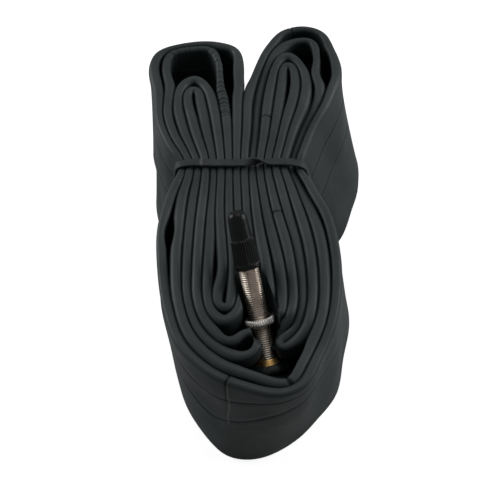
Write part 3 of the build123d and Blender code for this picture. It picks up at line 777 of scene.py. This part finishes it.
core_brass, tree, shader = shaded("turned_brass", 0.26, Metallic=1.0)
swarf = grain(tree, 600, 3)
body = stepped(tree, swarf, [(0.3, (0.50, 0.34, 0.15)), (0.65, (0.78, 0.58, 0.30))])
finished(tree, shader, body, remapped(tree, swarf, 0.3, 0.7, 0.34, 0.2))
roughened(tree, shader, [(grain(tree, 2600, 2), 0.2, 0.02)])
core_outline = [(25.0, 1.25), (25.0, 1.95), (NECK_TOP, 1.95), (NECK_TOP + 0.05, 2.4),
                (HEAD_TOP - 0.3, 2.4), (HEAD_TOP, 2.1), (HEAD_TOP, 1.25), (30.0, 1.25)]
pin_outline = ([(19.0, 0.02), (19.0, 1.4), (19.8, 1.4), (19.85, 1.0)]
               + [(s, 1.0) for s in np.arange(20.5, HEAD_TOP, 2.0)]
               + [(s, 1.0) for s in np.arange(HEAD_TOP, PIN_TOP - 0.3, 0.06)]
               + [(PIN_TOP, 0.75), (PIN_TOP, 0.02)])
nut_outline = [(NUT_FOOT, 1.12), (NUT_FOOT, 1.75), (NUT_FOOT + 0.25, 2.0), (NUT_FOOT + 1.2, 2.0),
               (NUT_TOP - 0.25, 2.0), (NUT_TOP, 1.75), (NUT_TOP, 1.12), (NUT_FOOT + 1.2, 1.1)]
core = turned("core_head", core_outline, 72, head_relief)
pin = turned("threaded_pin", pin_outline, 48, pin_relief)
nut = turned("knurled_nut", nut_outline, NUT_TEETH * 8, nut_relief)
for piece, node, body_name in ((core, "core_body", "tube"), (pin, "core_pin", "pin"),
                               (nut, "tip_nut", "nut")):
    piece.data.materials.append(core_brass)
    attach(piece, body_name)
    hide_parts(node)

# ---------------------------------------------------------------------------------------
# The two seals. Black rubber rings inside the stem, round the core's barrel and the pin.
# ---------------------------------------------------------------------------------------
seal_rubber, tree, shader = shaded("seal_rubber", 0.45, Specular_IOR_Level=0.45)
oiled = grain(tree, 900, 3)
body = stepped(tree, oiled, [(0.3, (0.010, 0.010, 0.010)), (0.7, (0.022, 0.022, 0.022))])
finished(tree, shader, body, remapped(tree, oiled, 0.3, 0.7, 0.5, 0.32))
roughened(tree, shader, [(grain(tree, 1800, 2), 0.3, 0.03)])
for node in ("core_seal", "pin_seal"):
    for seal in [o for o in bpy.data.objects if o.type == "MESH" and o.name.split(".")[0] == node]:
        seal.data.materials.clear()
        seal.data.materials.append(seal_rubber)

# ---------------------------------------------------------------------------------------
# The dust cap. Moulded in one piece from smoky plastic: a ribbed skirt that screws on the
# neck, with a plain rim, and a smooth thin-walled dome over the pin.
# ---------------------------------------------------------------------------------------
CAP_RIM = 29.2
CAP_STEP = 37.6
CAP_TIP = 46.2
CAP_RIBS = 30
RIM_RADIUS = 3.93
STEP_RADIUS = 3.42
DOME_RADIUS = 3.1


def cap_relief(s, t, r):
    """Cuts the ribs of the skirt, and scallops its upper edge."""
    rib = 0.5 + 0.5 * np.cos(CAP_RIBS * t)
    on_skirt = (r > 3.2) & (s > CAP_RIM + 1.1) & (s < CAP_STEP + 0.05)
    r = r - np.where(on_skirt, 0.24 * (1 - rib ** 0.6) * ramp(s, CAP_RIM + 1.1, CAP_RIM + 1.5), 0)
    scallop = np.where(on_skirt & (s > CAP_STEP - 0.5), 0.22 * (rib - 1), 0)
    return r * np.cos(t), r * np.sin(t), s + scallop


skirt = [(s, RIM_RADIUS + (STEP_RADIUS - RIM_RADIUS) * (s - CAP_RIM) / (CAP_STEP - CAP_RIM))
         for s in np.linspace(CAP_RIM + 0.15, CAP_STEP - 0.12, 40)]
DOME_TAPER = 0.36 / 8.6
dome = [(s, DOME_RADIUS - DOME_TAPER * (s - CAP_STEP))
        for s in np.linspace(CAP_STEP + 0.4, CAP_TIP - 2.1, 14)]
TIP_ROUND = 2.0
round_tip = [(CAP_TIP - TIP_ROUND + TIP_ROUND * math.sin(a), 0.6 + 2.17 * math.cos(a))
             for a in np.linspace(0.03, math.pi / 2, 12)]
cap_inside = [(CAP_TIP - 0.75, 0.02), (CAP_TIP - 0.9, 1.0), (CAP_TIP - 1.9, 2.0), (36.65, 2.2),
              (36.55, 2.8), (33.0, 2.8)]
cap_outline = ([(CAP_RIM, 2.82), (CAP_RIM, 3.8)] + skirt
               + [(CAP_STEP, STEP_RADIUS - 0.1), (CAP_STEP + 0.02, DOME_RADIUS + 0.12)]
               + dome + round_tip + [(CAP_TIP + 0.01, 0.3), (CAP_TIP + 0.02, 0.02)] + cap_inside)
plastic, tree, shader = shaded("smoky_plastic", 0.26, Specular_IOR_Level=0.12)
shade = grain(tree, 220, 3)
body = stepped(tree, shade, [(0.3, (0.0020, 0.0024, 0.0026)), (0.7, (0.0042, 0.0048, 0.0050))])
specks = remapped(tree, grain(tree, 1600, 2), 0.7, 0.76, 0, 0.3)
# painted light: the dome is painted a little lighter than the skirt, standing in for light showing
# through its thin smoky wall
dome_painted_light = remapped(tree, mark_on(tree, "dome"), 0, 1, 0, 0.4)
body = blended(tree, specks, body, (0.03, 0.03, 0.03))
body = blended(tree, dome_painted_light, body, (0.006, 0.007, 0.007))
finished(tree, shader, body, remapped(tree, shade, 0.3, 0.7, 0.3, 0.2))
roughened(tree, shader, [(grain(tree, 1400, 3), 0.2, 0.03)])
cap = turned("ribbed_cap", cap_outline, CAP_RIBS * 8, cap_relief,
             {"dome": lambda s, t, r: ((s > CAP_STEP) & (r < 3.25)).astype(float)})
cap.data.materials.append(plastic)
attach(cap, "cap")
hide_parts("dust_cap")

# ---------------------------------------------------------------------------------------
# Floor, light and camera. A plain pale table under a large soft lamp overhead and behind, with
# two lower soft lamps for the flanks, and a white room.
# ---------------------------------------------------------------------------------------
FLOOR_REACH = 3.0
FLOOR_GREY = (0.3, 0.3, 0.3, 1)
WHITE = (1, 1, 1, 1)
ROOM_LIGHT = 0.15           # how brightly the white room lights the object


def seen_as(tree, plain, glossy, camera):
    """A strength that is plain for light, and more for what a mirror or the camera sees."""
    rays = tree.nodes.new("ShaderNodeLightPath")
    strength = remapped(tree, rays.outputs["Is Glossy Ray"], 0, 1, plain, glossy)
    for straight in ("Is Camera Ray", "Is Transmission Ray"):
        both = tree.nodes.new("ShaderNodeMath")
        both.operation = "MAXIMUM"
        tree.links.new(strength, both.inputs[0])
        tree.links.new(remapped(tree, rays.outputs[straight], 0, 1, 0, camera), both.inputs[1])
        strength = both.outputs[0]
    return strength


floor_corners = [(x * FLOOR_REACH, y * FLOOR_REACH, 0) for x, y in ((-1, -1), (1, -1), (1, 1), (-1, 1))]
floor_mesh = bpy.data.meshes.new("floor")
floor_mesh.from_pydata(floor_corners, [], [(0, 1, 2, 3)])
floor = bpy.data.objects.new("floor", floor_mesh)
bpy.context.scene.collection.objects.link(floor)
floor_paint, tree, shader = shaded("pale_floor", 0.85, Base_Color=FLOOR_GREY,
                                   Specular_IOR_Level=0.1)
floor_mesh.materials.append(floor_paint)
shader.inputs["Emission Color"].default_value = WHITE
tree.links.new(seen_as(tree, 0, 0.12, 0.88), shader.inputs["Emission Strength"])

world = bpy.data.worlds.new("studio")
bpy.context.scene.world = world
world.use_nodes = True
backdrop = world.node_tree.nodes["Background"]
backdrop.inputs["Color"].default_value = WHITE
world.node_tree.links.new(seen_as(world.node_tree, ROOM_LIGHT, 0.5, 1), backdrop.inputs["Strength"])


def softbox(name, place, size, watts, aim=(0, 0, 0.03)):
    """A square lamp looking at the bundle."""
    light = bpy.data.lights.new(name, "AREA")
    light.size = size
    light.energy = watts
    lamp = bpy.data.objects.new(name, light)
    lamp.location = place
    lamp.rotation_euler = (Vector(aim) - Vector(place)).to_track_quat("-Z", "Y").to_euler()
    bpy.context.scene.collection.objects.link(lamp)


softbox("top_light", (0.05, 0.35, 0.85), 0.75, 2.7)
softbox("right_light", (0.75, 0.2, 0.35), 0.5, 4.8)
softbox("left_light", (-0.75, 0.25, 0.3), 0.5, 5.0)

camera_data = bpy.data.cameras.new("camera")
camera_data.lens = 72
camera_data.sensor_width = 36
camera_data.shift_y = -0.03
camera = bpy.data.objects.new("camera", camera_data)
LOOK_AT = np.array([-1.6, -17.7, 50.0])
ELEVATION = math.radians(56)
CAMERA_DISTANCE = 300.0
towards_camera = np.array([0, -math.cos(ELEVATION), math.sin(ELEVATION)])
camera.location = (LOOK_AT + CAMERA_DISTANCE * towards_camera) * MM
camera.rotation_euler = (math.pi / 2 - ELEVATION, 0, 0)
bpy.context.scene.collection.objects.link(camera)
bpy.context.scene.camera = camera

bpy.context.scene.view_settings.view_transform = "Standard"
